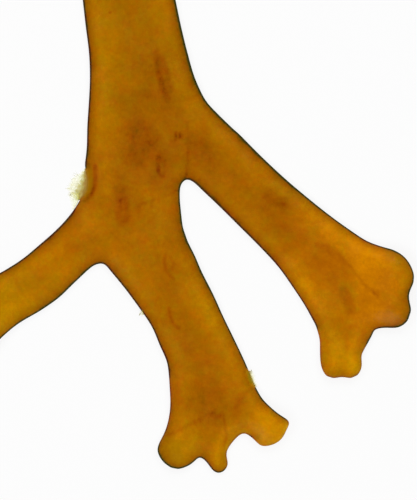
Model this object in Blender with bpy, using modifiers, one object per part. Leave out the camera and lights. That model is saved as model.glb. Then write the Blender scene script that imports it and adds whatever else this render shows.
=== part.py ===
"""Brown seaweed: one flat blade that forks again and again, as picked, lying on its underside.

The blade is modelled in stretches, one from each fork to the next, and one for each tip.
X runs across the blade, +Y points back along the main axis to its cut end and +Z is up.
The origin is on the underside of the main axis, level with the first fork.
"""

import bmesh
import bpy
from mathutils import Vector

MM = 0.001
THICKNESS = 0.28  # mm, of the blade away from its margins
MARGIN_SHARE = 0.6  # the margins' share of that thickness
FILM_THICKNESS = 0.1  # mm, of the bleached film on the left margin
GAP = 0.3  # mm, between neighbouring stretches

# The stretches. A row is a line across the blade, from its left margin to its right one as
# seen with the cut end at the top, and rows run from the cut end towards the tips. They are
# in mm. A row that ends at a fork also has the fork's crotch between its two margins, and
# the columns say how many strips of the cage lie between the points of such a row. The last
# row of a tip lies along its rounded end.
MAIN_AXIS = (
    ((-4.5, 14.2), (0.95, 15.0)),
    ((-4.25, 12.2), (1.45, 12.6)),
    ((-4.02, 10.2), (1.95, 10.2)),
    ((-3.82, 8.6), (2.37, 8.5)),
    ((-3.76, 7.0), (2.81, 7.0)),
    ((-3.83, 5.4), (3.45, 5.65)),
    ((-3.92, 4.0), (4.1, 4.9)),
    ((-3.95, 2.7), (4.75, 4.25)),
    ((-4.07, 1.6), (2.3, 0.65), (5.3, 3.73)),
)
INNER_AXIS = (
    ((-4.07, 1.6), (2.3, 0.65)),
    ((-3.98, 0.8), (1.88, 0.1)),
    ((-3.98, 0.1), (1.86, -0.45)),
    ((-4.35, -0.55), (1.9, -1.0)),
    ((-4.8, -1.3), (1.97, -1.65)),
    ((-5.38, -2.0), (-3.1, -4.6), (2.05, -2.3)),
)
LEFT_BRANCH = (
    ((-5.38, -2.0), (-3.1, -4.6)),
    ((-6.1, -2.72), (-3.85, -4.97)),
    ((-7.0, -3.5), (-4.94, -6.0)),
    ((-7.9, -4.25), (-5.75, -6.77)),
    ((-8.8, -4.85), (-6.95, -7.6)),
    ((-9.7, -5.35), (-8.2, -8.33)),
    ((-10.8, -5.8), (-9.3, -9.25)),
    ((-12.0, -6.2), (-10.2, -10.2)),
    ((-13.0, -6.75), (-11.1, -10.9)),
    ((-13.6, -7.5), (-13.5, -8.4), (-12.95, -9.1), (-12.75, -10.0), (-12.1, -10.75)),
)
MIDDLE_BRANCH = (
    ((-3.1, -4.6), (2.05, -2.3)),
    ((-2.5, -5.02), (2.35, -3.2)),
    ((-1.69, -6.0), (2.8, -4.1)),
    ((-0.94, -7.0), (3.23, -5.1)),
    ((0.06, -8.45), (3.94, -6.5)),
    ((0.63, -9.75), (4.62, -8.0)),
    ((1.04, -10.7), (5.3, -9.4)),
    ((1.18, -11.6), (6.0, -10.9)),
    ((1.24, -12.6), (6.42, -11.95)),
    ((1.27, -13.5), (6.75, -12.6)),
    ((1.12, -14.5), (7.0, -13.0)),
    ((0.85, -15.3), (3.1, -16.7), (4.85, -16.2), (5.9, -15.2), (7.3, -13.35)),
)
MIDDLE_LEFT_LOBE = (
    ((0.85, -15.3), (3.1, -16.7)),
    ((0.47, -16.05), (2.75, -17.0)),
    ((0.57, -16.6), (2.3, -17.28)),
    ((0.87, -17.03), (1.3, -17.34), (1.8, -17.43)),
)
MIDDLE_SMALL_LOBE = (
    ((3.1, -16.7), (4.85, -16.2)),
    ((3.52, -17.0), (4.8, -16.7)),
    ((3.75, -17.3), (4.87, -17.15)),
    ((4.0, -17.58), (4.32, -17.68), (4.65, -17.53)),
)
MIDDLE_RIGHT_LOBE = (
    ((5.9, -15.2), (7.3, -13.35)),
    ((6.45, -15.55), (8.0, -13.97)),
    ((6.8, -15.88), (8.5, -14.28)),
    ((7.15, -16.0), (7.75, -15.87), (8.25, -15.5), (8.5, -15.0), (8.69, -14.57)),
)
RIGHT_BRANCH = (
    ((2.3, 0.65), (5.3, 3.73)),
    ((3.2, 0.05), (6.06, 3.0)),
    ((4.31, -1.0), (7.06, 2.0)),
    ((5.6, -2.28), (8.4, 0.75)),
    ((6.9, -3.58), (9.75, -0.4)),
    ((8.0, -4.78), (11.12, -1.5)),
    ((8.88, -6.0), (12.5, -2.5)),
    ((9.7, -7.25), (13.7, -3.25)),
    ((10.35, -8.45), (14.1, -8.7), (15.2, -3.75)),
)
RIGHT_INNER_TIP = (
    ((10.35, -8.45), (14.1, -8.7)),
    ((10.6, -9.3), (13.65, -9.5)),
    ((10.63, -10.2), (13.2, -10.4)),
    ((10.7, -11.05), (13.25, -11.0)),
    ((11.0, -11.58), (11.5, -11.76), (12.0, -11.67), (12.5, -11.76), (13.0, -11.53)),
)
RIGHT_OUTER_TIP = (
    ((14.1, -8.7), (15.2, -3.75)),
    ((14.8, -8.6), (15.8, -4.1)),
    ((15.5, -8.6), (16.25, -4.7)),
    ((16.05, -8.2), (16.3, -7.4), (16.1, -6.6), (16.4, -5.9), (16.45, -5.3)),
)
STRETCHES = {
    "main_axis": (MAIN_AXIS, (3, 2), "a16501"),
    "inner_axis": (INNER_AXIS, (2, 3), "9a5602"),
    "left_branch": (LEFT_BRANCH, (1, 1, 1, 1), "b07201"),
    "middle_branch": (MIDDLE_BRANCH, (2, 1, 1, 2), "a46402"),
    "middle_left_lobe": (MIDDLE_LEFT_LOBE, (1, 1), "a87101"),
    "middle_small_lobe": (MIDDLE_SMALL_LOBE, (1, 1), "ae6f01"),
    "middle_right_lobe": (MIDDLE_RIGHT_LOBE, (1, 1, 1, 1), "c58101"),
    "right_branch": (RIGHT_BRANCH, (2, 3), "a86201"),
    "right_inner_tip": (RIGHT_INNER_TIP, (1, 1, 1, 1), "b87201"),
    "right_outer_tip": (RIGHT_OUTER_TIP, (1, 1, 1, 1), "cb7501"),
}
TIPS = {"left_branch", "middle_left_lobe", "middle_small_lobe", "middle_right_lobe"}
TIPS |= {"right_inner_tip", "right_outer_tip"}
CUT_END = "main_axis"  # the stretch whose first row is the cut and not a seam

# Where the blade lifts off what it lies on, in mm: a place, how far the lift reaches from
# there, and how high the blade would be at that place
LIFTS = (
    ((-14.2, -9.8), 7.0, 1.0),
    ((17.2, -6.0), 5.0, 0.7),
    ((12.0, -12.6), 3.6, 0.25),
    ((9.4, -15.0), 4.4, 0.4),
    ((1.2, -18.4), 3.4, 0.25),
)

# The bleached film that frays out of the left margin, in mm
FILM = (
    (-4.24, 0.95), (-4.21, 0.5), (-4.23, 0.1), (-4.42, -0.2), (-4.66, -0.5), (-4.86, -0.78),
    (-5.08, -0.5), (-4.9, -0.3), (-5.12, -0.02), (-4.86, 0.12), (-5.0, 0.42), (-4.7, 0.5),
    (-4.72, 0.85), (-4.5, 0.82),
)


def linear(hex_colour):
    """An sRGB hex colour as the linear colour that a material takes."""
    parts = [int(hex_colour[i:i + 2], 16) / 255 for i in (0, 2, 4)]
    return [c / 12.92 if c <= 0.04045 else ((c + 0.055) / 1.055) ** 2.4 for c in parts] + [1]


def finish(name, hex_colour, roughness, alpha=1.0):
    """The material of one piece."""
    material = bpy.data.materials.new(name)
    material.use_nodes = True
    shader = material.node_tree.nodes["Principled BSDF"]
    shader.inputs["Base Color"].default_value = linear(hex_colour)
    shader.inputs["Roughness"].default_value = roughness
    shader.inputs["Metallic"].default_value = 0.0
    shader.inputs["Alpha"].default_value = alpha
    return material


def lift(point):
    """The height of the blade's underside above what it lies on, in mm."""
    height = 0.0
    for place, reach, top in LIFTS:
        near = max(0.0, 1 - (Vector(point) - Vector(place)).length / reach)
        height += top * near * near * (3 - 2 * near)
    return height


def spread(row, columns):
    """The row's points with evenly spaced ones put in between, one for each column."""
    points = [Vector(p) for p in row]
    if len(points) == 2:
        columns = (sum(columns),)
    places = []
    for start, end, count in zip(points, points[1:], columns):
        places += [start.lerp(end, i / count) for i in range(count)]
    return places + [points[-1]]


def corners(row, columns):
    """The numbers, along a spread row, of the points that the row was given."""
    if len(row) == 2:
        return [0, sum(columns)]
    return [sum(columns[:i]) for i in range(len(row))]


def drawn_back(row, neighbour):
    """A seam's row, half the gap nearer to the next row of its own stretch."""
    return [p + (q - p).normalized() * GAP / 2 for p, q in zip(row, neighbour)]


def stretch(name, rows, columns, hex_colour, collection):
    """One stretch of the blade: a cage of rows, smoothed, and then given its thickness."""
    across = sum(columns) + 1
    cage = [spread(row, columns) for row in rows]
    sharp, thin = set(), set()
    for i, row in enumerate(rows):
        thin |= {i * across, (i + 1) * across - 1}
        if i == 0 or (i == len(rows) - 1 and name not in TIPS):
            sharp |= {i * across + c for c in corners(row, columns)}
    if name != CUT_END:
        cage[0] = drawn_back(cage[0], cage[1])
    if name in TIPS:
        thin |= {(len(rows) - 1) * across + c for c in range(across)}
    else:
        cage[-1] = drawn_back(cage[-1], cage[-2])

    bm = bmesh.new()
    bmesh.ops.create_grid(bm, x_segments=across - 1, y_segments=len(rows) - 1, size=1.0)
    bm.verts.ensure_lookup_table()
    for vertex, place in zip(bm.verts, [p for row in cage for p in row]):
        vertex.co = (place.x, place.y, 0.0)
    bmesh.ops.reverse_faces(bm, faces=bm.faces)

    # The smoothing draws a margin in by a sixth of its bend, so the cage stands out by that
    pushed = {}
    for vertex in bm.verts:
        if vertex.is_boundary and vertex.index not in sharp:
            ends = [e.other_vert(vertex).co for e in vertex.link_edges if e.is_boundary]
            pushed[vertex] = vertex.co + (2 * vertex.co - ends[0] - ends[1]) / 6
    for vertex, place in pushed.items():
        vertex.co = place

    crease = bm.verts.layers.float.new("crease_vert")
    for vertex in bm.verts:
        vertex[crease] = 1.0 if vertex.index in sharp else 0.0
        vertex.co.z = lift(vertex.co.xy)
    bmesh.ops.scale(bm, vec=(MM, MM, MM), verts=bm.verts)

    mesh = bpy.data.meshes.new(name)
    bm.to_mesh(mesh)
    bm.free()
    mesh.shade_smooth()
    piece = bpy.data.objects.new(name, mesh)
    collection.objects.link(piece)
    mesh.materials.append(finish(name, hex_colour, 0.42))

    group = piece.vertex_groups.new(name="thickness")
    for i in range(len(mesh.vertices)):
        group.add([i], MARGIN_SHARE if i in thin else 1.0, "REPLACE")
    smooth = piece.modifiers.new("smooth", "SUBSURF")
    smooth.levels = smooth.render_levels = 1
    smooth.boundary_smooth = "ALL"
    wall = piece.modifiers.new("wall", "SOLIDIFY")
    wall.thickness = THICKNESS * MM
    wall.offset = 1.0
    wall.vertex_group = "thickness"
    return piece


def film(collection):
    """The bleached film: a ragged flat outline beside the inner axis's left margin."""
    outline = bpy.data.curves.new("edge_tuft", "CURVE")
    outline.dimensions = "2D"
    outline.fill_mode = "BOTH"
    outline.extrude = FILM_THICKNESS / 2 * MM
    spline = outline.splines.new("POLY")
    spline.points.add(len(FILM) - 1)
    for point, (x, y) in zip(spline.points, FILM):
        point.co = (x * MM, y * MM, 0.0, 1.0)
    spline.use_cyclic_u = True
    piece = bpy.data.objects.new("edge_tuft", outline)
    piece.location.z = FILM_THICKNESS / 2 * MM
    collection.objects.link(piece)
    outline.materials.append(finish("edge_tuft", "d8cf8c", 0.55, alpha=0.6))
    return piece


for old in list(bpy.data.objects):
    bpy.data.objects.remove(old)
seaweed = bpy.data.collections.new("Brown_seaweed")
bpy.context.scene.collection.children.link(seaweed)
for stretch_name, (stretch_rows, stretch_columns, stretch_colour) in STRETCHES.items():
    stretch(stretch_name, stretch_rows, stretch_columns, stretch_colour, seaweed)
film(seaweed)
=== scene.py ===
"""Brown seaweed: one flat blade that forks again and again, as picked, lying on its underside.

The blade is laid as one sheet, row by row from its cut end to its tips, then smoothed, given
its thickness and a rounded rim, and lifted a little at its tips. Rows, marks and places are in
mm, in the frame of the CAD: X across, +Y back along the main axis to the cut end, +Z up.
"""

import math
import random

import bmesh
import bpy
import numpy as np
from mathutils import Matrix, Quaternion, Vector, kdtree


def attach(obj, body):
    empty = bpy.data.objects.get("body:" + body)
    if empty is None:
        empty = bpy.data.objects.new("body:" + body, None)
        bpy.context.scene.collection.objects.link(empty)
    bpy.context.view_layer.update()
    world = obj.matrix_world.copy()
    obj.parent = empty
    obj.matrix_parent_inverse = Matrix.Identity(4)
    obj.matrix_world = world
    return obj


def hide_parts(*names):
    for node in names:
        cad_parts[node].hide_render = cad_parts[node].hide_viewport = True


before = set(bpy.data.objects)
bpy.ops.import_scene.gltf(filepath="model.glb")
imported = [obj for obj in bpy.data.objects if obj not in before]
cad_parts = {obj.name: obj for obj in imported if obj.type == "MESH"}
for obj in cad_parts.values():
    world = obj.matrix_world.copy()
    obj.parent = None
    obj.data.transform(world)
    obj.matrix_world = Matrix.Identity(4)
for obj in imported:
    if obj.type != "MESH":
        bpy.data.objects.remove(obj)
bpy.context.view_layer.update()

MM = 0.001
ROW_STEP = 0.55  # mm, between the rows of the cage
GRID_SIZE = 0.03  # m, of the grid that each stretch starts from
SAME_PLACE = 0.02  # mm, within which points of the cage are merged, or lie on the cut
THICKNESS = 0.28  # mm, of the blade away from its margins
THICKENING = 1.2  # mm, from the margin to where the blade is at its full thickness
RIM = 0.08  # mm, half the rim's thickness and the width over which it is rounded
RIM_EDGE = 0.02  # mm, the height that is left at the very edge
RIM_REACH = 2.0  # mm, from the margin to where its effect on the colour ends
RIM_HUE = 0.5  # mm, from the margin to where its olive tint ends
RIM_OLIVE = 0.2  # how much more olive the tissue is by every margin
RIGHT_FRINGE_OLIVE = 0.35  # how much more than that by a margin that faces right, a painted colour fringe of light
RIM_SHADE_LINE = 0.15  # mm, the width of the margin's painted dark line of shade
LINE_FRINGE_HUE = 0.4  # how far that line turns maroon to the left and olive to the right, a painted colour fringe of light
MIDDLE_HUE = -0.74  # evens out the blotches, so that half the tissue is russet, half olive
DARKEST = 0.82  # how dense the tissue gets inside its rim
MARK_HUE = 2.0  # how much more russet the marks are, for how much they darken
MIDDLE_TONE = 0.134  # how densely the tissue is coloured, before its marks, rim and blotches
WAVE = 0.16  # mm, the height of the gentle waves in the whole blade
WAVE_LENGTH = 5.0  # mm
DIMPLE = 0.03  # mm, the height of the unevenness of the upper skin
DIMPLE_LENGTH = 0.9  # mm
SKIN_REACH = 0.6  # mm, from the margin to where that unevenness is at its full height
RELIEF = 0.05  # mm, how far the strongest mark could stand proud or be sunk
CUT_WAVE = 0.08  # mm, how far the cut end strays from a straight line
CUT_WAVE_LENGTH = 0.6  # mm
CUT_REACH = 0.4  # mm, how far down the blade the cut end's unevenness reaches
AS_LAID = 13.0  # mm, the Y above which the outline is left as laid, up to the cut end

# The stretches of the blade, from one fork to the next. A row runs across the blade, from its
# left margin to its right one with the cut end at the top. A stretch's last row lies along the
# fork or the rounded tip, with a point for each bend; the columns say how many strips of the
# cage lie between its points.
MAIN_AXIS = (
    ((-4.5, 14.2), (0.95, 15.0)),
    ((-4.25, 12.2), (1.45, 12.6)),
    ((-4.02, 10.2), (1.95, 10.2)),
    ((-3.82, 8.6), (2.37, 8.5)),
    ((-3.76, 7.0), (2.81, 7.0)),
    ((-3.83, 5.4), (3.45, 5.65)),
    ((-3.92, 4.0), (4.1, 4.9)),
    ((-3.95, 2.7), (4.75, 4.25)),
    ((-4.07, 1.6), (2.3, 0.65), (5.3, 3.73)),
)
INNER_AXIS = (
    ((-4.07, 1.6), (2.3, 0.65)),
    ((-4.03, 1.3), (2.02, 0.45)),
    ((-3.98, 0.8), (1.88, 0.1)),
    ((-3.98, 0.1), (1.86, -0.45)),
    ((-4.35, -0.55), (1.9, -1.0)),
    ((-4.8, -1.3), (1.97, -1.65)),
    ((-5.38, -2.0), (-3.1, -4.6), (2.05, -2.3)),
)
LEFT_BRANCH = (
    ((-5.38, -2.0), (-3.1, -4.6)),
    ((-5.72, -2.35), (-3.5, -4.72)),
    ((-6.1, -2.72), (-3.85, -4.97)),
    ((-7.0, -3.5), (-4.94, -6.0)),
    ((-7.9, -4.25), (-5.75, -6.77)),
    ((-8.8, -4.85), (-6.95, -7.6)),
    ((-9.7, -5.35), (-8.2, -8.33)),
    ((-10.8, -5.8), (-9.3, -9.25)),
    ((-12.0, -6.2), (-10.2, -10.2)),
    ((-13.0, -6.75), (-11.1, -10.9)),
    ((-13.6, -7.5), (-13.5, -8.4), (-12.95, -9.1), (-12.75, -10.0), (-12.1, -10.75)),
)
MIDDLE_BRANCH = (
    ((-3.1, -4.6), (2.05, -2.3)),
    ((-2.78, -4.7), (2.2, -2.75)),
    ((-2.5, -5.02), (2.35, -3.2)),
    ((-1.69, -6.0), (2.8, -4.1)),
    ((-0.94, -7.0), (3.23, -5.1)),
    ((0.06, -8.45), (3.94, -6.5)),
    ((0.63, -9.75), (4.62, -8.0)),
    ((1.04, -10.7), (5.3, -9.4)),
    ((1.18, -11.6), (6.0, -10.9)),
    ((1.24, -12.6), (6.42, -11.95)),
    ((1.27, -13.5), (6.75, -12.6)),
    ((1.12, -14.5), (7.0, -13.0)),
    ((0.85, -15.3), (3.1, -16.7), (4.85, -16.2), (5.4, -15.5), (5.9, -15.2), (7.3, -13.35)),
)
MIDDLE_LEFT_LOBE = (
    ((0.85, -15.3), (3.1, -16.7)),
    ((0.47, -16.05), (2.75, -17.0)),
    ((0.57, -16.6), (2.3, -17.28)),
    ((0.87, -17.03), (1.3, -17.34), (1.8, -17.43)),
)
MIDDLE_SMALL_LOBE = (
    ((3.1, -16.7), (4.85, -16.2)),
    ((3.52, -17.0), (4.8, -16.7)),
    ((3.75, -17.3), (4.87, -17.15)),
    ((4.0, -17.58), (4.32, -17.68), (4.65, -17.53)),
)
MIDDLE_RIGHT_LOBE = (
    ((5.9, -15.2), (7.3, -13.35)),
    ((6.45, -15.55), (8.0, -13.97)),
    ((6.8, -15.88), (8.5, -14.28)),
    ((7.15, -16.0), (7.75, -15.87), (8.25, -15.5), (8.5, -15.0), (8.69, -14.57)),
)
RIGHT_BRANCH = (
    ((2.3, 0.65), (5.3, 3.73)),
    ((2.72, 0.5), (5.6, 3.47)),
    ((3.2, 0.05), (6.06, 3.0)),
    ((4.31, -1.0), (7.06, 2.0)),
    ((5.6, -2.28), (8.4, 0.75)),
    ((6.9, -3.58), (9.75, -0.4)),
    ((8.0, -4.78), (11.12, -1.5)),
    ((8.88, -6.0), (12.5, -2.5)),
    ((9.7, -7.25), (13.7, -3.25)),
    ((10.35, -8.45), (14.1, -8.7), (15.2, -3.75)),
)
RIGHT_INNER_TIP = (
    ((10.35, -8.45), (14.1, -8.7)),
    ((10.6, -9.3), (13.65, -9.5)),
    ((10.63, -10.2), (13.2, -10.4)),
    ((10.7, -11.05), (13.25, -11.0)),
    ((11.0, -11.58), (11.5, -11.76), (12.0, -11.67), (12.5, -11.76), (13.0, -11.53)),
)
RIGHT_OUTER_TIP = (
    ((14.1, -8.7), (15.2, -3.75)),
    ((14.8, -8.6), (15.8, -4.1)),
    ((15.5, -8.6), (16.25, -4.7)),
    ((16.05, -8.2), (16.3, -7.4), (16.1, -6.6), (16.4, -5.9), (16.45, -5.3)),
)
STRETCHES = {
    "main_axis": (MAIN_AXIS, (18, 12)),
    "inner_axis": (INNER_AXIS, (6, 12)),
    "left_branch": (LEFT_BRANCH, (2, 1, 1, 2)),
    "middle_branch": (MIDDLE_BRANCH, (4, 2, 1, 1, 4)),
    "middle_left_lobe": (MIDDLE_LEFT_LOBE, (2, 2)),
    "middle_small_lobe": (MIDDLE_SMALL_LOBE, (1, 1)),
    "middle_right_lobe": (MIDDLE_RIGHT_LOBE, (1, 1, 1, 1)),
    "right_branch": (RIGHT_BRANCH, (6, 6)),
    "right_inner_tip": (RIGHT_INNER_TIP, (2, 1, 1, 2)),
    "right_outer_tip": (RIGHT_OUTER_TIP, (2, 1, 1, 2)),
}
CUT = MAIN_AXIS[0]  # the line of the cut end

# Where the blade lifts off what it lies on: a place, how far the lift reaches from there,
# and how high the blade would be at that place, in mm
LIFTS = (
    ((-14.2, -9.8), 7.0, 1.0),
    ((17.2, -6.0), 5.0, 0.7),
    ((12.0, -12.6), 3.6, 0.25),
    ((9.4, -15.0), 4.4, 0.4),
    ((1.2, -18.4), 3.4, 0.25),
)

# How densely the tissue is coloured: a line of points, how wide the mark is at full strength to
# each side of it, how far it fades beyond that, and how much it darkens or lightens there
TONES = (
    # the middle of the main axis, and the dark hearts on both sides of the first fork
    ((0.2, 8.0), (0.3, 4.0), (0.1, 2.4), 0.6, 2.0, 0.05),
    ((-0.1, 8.1), (0.2, 7.7), 0.2, 0.7, 0.05),
    ((-2.8, 6.6), (-2.7, 6.0), 0.2, 0.7, 0.05),
    ((0.4, 5.0), (-0.4, 3.9), 0.2, 0.7, -0.04),
    ((2.3, 7.6), (2.6, 6.9), 0.1, 0.5, 0.05),
    ((-0.7, 3.7), (-0.3, 2.9), (-0.8, 2.2), 0.25, 1.2, 0.2),
    ((3.2, 2.8), (3.7, 2.4), 0.1, 1.1, 0.12),
    ((0.8, 0.6), (2.4, 1.2), (3.5, 0.9), 0.4, 1.0, 0.08),
    ((-2.6, 10.0), (-1.8, 5.0), 0.8, 1.0, -0.03),
    ((1.7, 7.0), (2.6, 6.2), 0.3, 0.7, 0.04),
    ((-1.5, 5.5), (1.5, 5.4), 0.3, 1.0, 0.09),
    ((0.9, 1.6), (0.8, 0.7), 0.4, 0.9, 0.09),
    ((-1.3, 0.4), (-1.2, -1.6), 0.4, 1.0, 0.08),
    ((-0.5, 1.4), (-0.5, -0.4), (-0.4, -3.6), 0.3, 1.2, -0.05),
    ((1.5, -1.4), (1.8, -4.6), 0.3, 0.8, 0.07),
    ((-3.5, 1.7), (-3.5, -0.6), 0.3, 0.6, 0.1),
    ((-3.5, 7.0), (-3.6, 4.2), 0.2, 0.6, -0.06),
    ((1.4, 10.2), (1.8, 8.6), 0.3, 0.8, 0.06),
    ((2.4, 4.8), (4.4, 3.6), 0.3, 0.9, 0.03),
    ((2.6, 1.9), (2.4, 1.4), 0.3, 0.6, 0.05),
    ((1.5, -2.2), (1.6, -3.0), 0.3, 0.7, 0.05),
    # the left branch, clearer than the rest, and the crotch above it
    ((-4.6, -3.2), (-3.2, -3.6), (-2.6, -3.4), 0.3, 1.0, 0.08),
    # a painted band of the rim's shade along the left branch's upper margin
    ((-4.7, -1.9), (-6.6, -3.4), 0.2, 0.7, 0.09),
    ((-4.4, -3.4), (-6.0, -4.6), 0.5, 1.2, -0.06),
    ((-3.7, -3.5), (-4.3, -4.1), 0.2, 0.7, 0.07),
    ((-8.2, -6.0), (-7.6, -6.4), 0.2, 0.8, -0.04),
    ((-3.5, -2.3), (-2.3, -3.2), 0.2, 0.8, -0.07),
    ((-8.2, -7.6), (-12.5, -8.6), 0.4, 1.3, -0.1),
    ((-6.2, -3.4), (-7.2, -4.2), (-9.4, -5.6), 0.1, 0.5, -0.05),
    ((-9.0, -7.3), (-9.6, -7.9), 0.3, 0.7, 0.05),
    ((-8.8, -8.4), (-9.8, -9.0), 0.2, 0.8, -0.06),
    ((-9.8, -7.0), (-12.0, -8.0), 0.8, 1.4, -0.11),
    # the middle branch, darker in the palm before its lobes
    ((1.2, -6.0), (2.4, -9.6), (3.4, -12.4), 0.5, 1.6, 0.06),
    ((2.6, -6.8), (3.2, -8.0), 0.4, 1.0, -0.09),
    ((3.0, -10.4), (3.8, -12.2), 0.8, 1.2, -0.04),
    ((3.9, -7.2), (5.7, -10.9), 0.2, 0.7, -0.08),
    ((2.2, -10.0), (2.4, -11.0), 0.2, 0.7, 0.06),
    ((0.5, -5.3), (0.6, -5.7), 0.3, 0.8, -0.05),
    ((0.3, -7.2), (1.5, -8.6), 0.1, 0.6, 0.06),
    ((0.8, -9.0), (0.9, -9.3), 0.2, 0.6, -0.04),
    ((1.8, -13.4), (2.8, -13.4), 0.2, 0.7, 0.04),
    ((3.3, -12.8), (3.8, -13.4), 0.4, 1.2, 0.08),
    ((5.6, -13.2), (5.2, -14.4), 0.1, 0.8, 0.1),
    ((5.4, -14.4), (7.4, -14.6), 0.2, 0.6, 0.05),
    ((6.4, -12.9), (7.2, -13.8), 0.2, 0.5, -0.06),
    # the right branch
    ((2.6, 2.6), (4.6, 1.4), (7.5, -1.4), (8.6, -2.8), 0.4, 1.6, 0.09),
    ((4.2, 2.4), (6.8, 0.2), 0.3, 0.8, -0.05),
    ((4.1, -0.1), (4.5, -0.5), 0.2, 0.6, 0.07),
    ((5.6, 3.0), (6.6, 2.2), 0.1, 0.5, 0.06),
    ((8.7, -0.9), (9.3, -1.4), 0.2, 0.8, 0.18),
    ((10.2, -2.6), (11.4, -3.8), 0.4, 1.0, 0.06),
    ((9.6, -1.4), (12.6, -3.4), (15.8, -4.6), 0.3, 1.7, -0.19),
    ((8.6, -5.0), (10.6, -8.4), 0.3, 1.0, -0.12),
    ((13.8, -5.4), (13.4, -7.6), 0.6, 1.6, -0.15),
    ((9.8, -4.0), (11.4, -6.8), 0.5, 1.0, -0.09),
    ((8.8, -4.1), (9.2, -4.6), 0.2, 0.7, 0.04),
    ((9.8, -5.8), (10.2, -6.4), 0.2, 0.8, 0.06),
    ((11.4, -2.2), (14.4, -3.8), 0.1, 0.8, -0.07),
    ((13.4, -5.2), (13.6, -5.9), 0.3, 0.8, -0.1),
    ((9.5, -6.2), (9.6, -6.9), 0.3, 0.7, -0.11),
    ((11.4, -4.4), (11.6, -4.6), 0.2, 0.6, -0.05),
    ((13.9, -4.6), (15.4, -5.0), 0.3, 0.7, 0.12),
    ((12.8, -3.3), (14.4, -4.0), 0.1, 0.4, -0.06),
    ((13.0, -9.5), (12.9, -11.2), 0.2, 0.5, -0.06),
    ((11.0, -8.4), (12.4, -9.5), 0.3, 0.8, 0.07),
    ((11.2, -9.4), (12.4, -9.6), 0.3, 0.8, -0.09),
    ((13.3, -8.2), (13.0, -8.8), 0.2, 0.7, 0.06),
    # the clearer lobes and tips
    ((2.3, -15.2), (2.3, -16.6), 0.4, 0.8, -0.11),
    ((3.3, -15.7), (3.5, -16.3), 0.1, 0.6, 0.07),
    ((5.7, -14.2), (6.2, -14.3), 0.1, 0.6, 0.06),
    ((1.2, -16.6), (1.6, -16.4), 0.2, 0.8, 0.05),
    ((5.6, -14.9), (4.5, -16.9), 0.5, 0.8, -0.16),
    ((5.2, -15.2), (4.5, -16.8), 0.2, 0.6, -0.05),
    ((4.4, -14.6), (4.4, -15.3), 0.2, 0.6, 0.08),
    ((7.9, -15.2), (7.5, -14.8), 0.4, 1.4, -0.29),
    ((5.0, -16.1), (5.4, -15.5), (5.9, -15.2), 0.1, 0.35, -0.16),
    ((12.0, -11.2), (12.0, -10.6), 0.5, 1.8, -0.17),
    ((13.0, -11.0), (12.8, -11.4), 0.2, 0.8, -0.12),
)
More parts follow.
